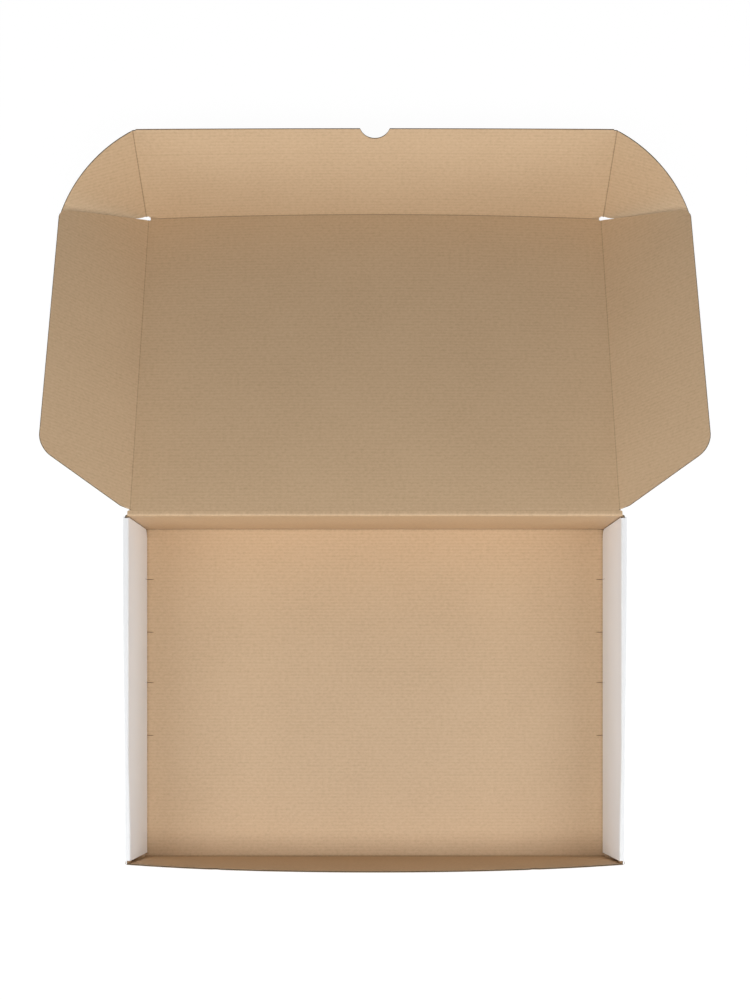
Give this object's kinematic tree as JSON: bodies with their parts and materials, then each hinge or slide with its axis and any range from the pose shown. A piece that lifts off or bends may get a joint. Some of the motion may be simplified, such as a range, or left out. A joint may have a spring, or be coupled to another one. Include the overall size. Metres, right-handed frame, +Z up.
{
  "type": "open mailer box",
  "caption": "Shallow folding mailer box with rolled side walls, shown open: hinged lid leaning back, a front tuck flap with a thumb notch and ears, and dust flaps at the sides.",
  "frame": {"origin": "centre of the base panel's underside, on the table", "axes": "+Z up, +Y from the front wall towards the lid's crease, +X to the right seen from the front"},
  "size_m": [0.64, 0.7373, 0.1579],
  "materials": {
    "mailer_board": "matte brown kraft inside with faint flute lines, white outside face"
  },
  "bodies": {
    "tray": {"tray": "mailer_board"},
    "lid": {"lid_panel": "mailer_board"},
    "tuck_flap": {"front_tuck_flap": "mailer_board"},
    "dust_right": {"right_dust_flap": "mailer_board"},
    "dust_left": {"left_dust_flap": "mailer_board"},
    "ear_right": {"right_tuck_ear": "mailer_board"},
    "ear_left": {"left_tuck_ear": "mailer_board"}
  },
  "joints": [
    {"name": "lid_hinge", "type": "hinge", "parent": "tray", "child": "lid", "pos_m": [0, 0.17335, 0.105], "axis": [1, 0, 0], "range_deg": [0, 197.72]},
    {"name": "tuck_fold", "type": "hinge", "parent": "lid", "child": "tuck_flap", "pos_m": [0, 0.4997, 0.00075], "axis": [1, 0, 0], "range_deg": [0, 28.2]},
    {"name": "dust_fold_right", "type": "hinge", "parent": "lid", "child": "dust_right", "pos_m": [0.2377, 0.17335, 0.105], "axis": [0, -0.9526, 0.3043], "range_deg": [0, 73.6]},
    {"name": "dust_fold_left", "type": "hinge", "parent": "lid", "child": "dust_left", "pos_m": [-0.2377, 0.17335, 0.105], "axis": [0, 0.9526, -0.3043], "range_deg": [0, 73.6]},
    {"name": "ear_fold_right", "type": "hinge", "parent": "tuck_flap", "child": "ear_right", "pos_m": [0.2396, 0.4997, 0.00075], "axis": [0, -0.5852, -0.8109], "range_deg": [0, 66.1]},
    {"name": "ear_fold_left", "type": "hinge", "parent": "tuck_flap", "child": "ear_left", "pos_m": [-0.2396, 0.4997, 0.00075], "axis": [0, 0.5852, 0.8109], "range_deg": [0, 66.1]}
  ],
  "couplings": [
    {"joint": "tuck_fold", "follows": "lid_hinge", "ratio": 0.14212},
    {"joint": "dust_fold_right", "follows": "lid_hinge", "ratio": 0.37175},
    {"joint": "dust_fold_left", "follows": "lid_hinge", "ratio": 0.37175},
    {"joint": "ear_fold_right", "follows": "lid_hinge", "ratio": 0.33381},
    {"joint": "ear_fold_left", "follows": "lid_hinge", "ratio": 0.33381}
  ]
}
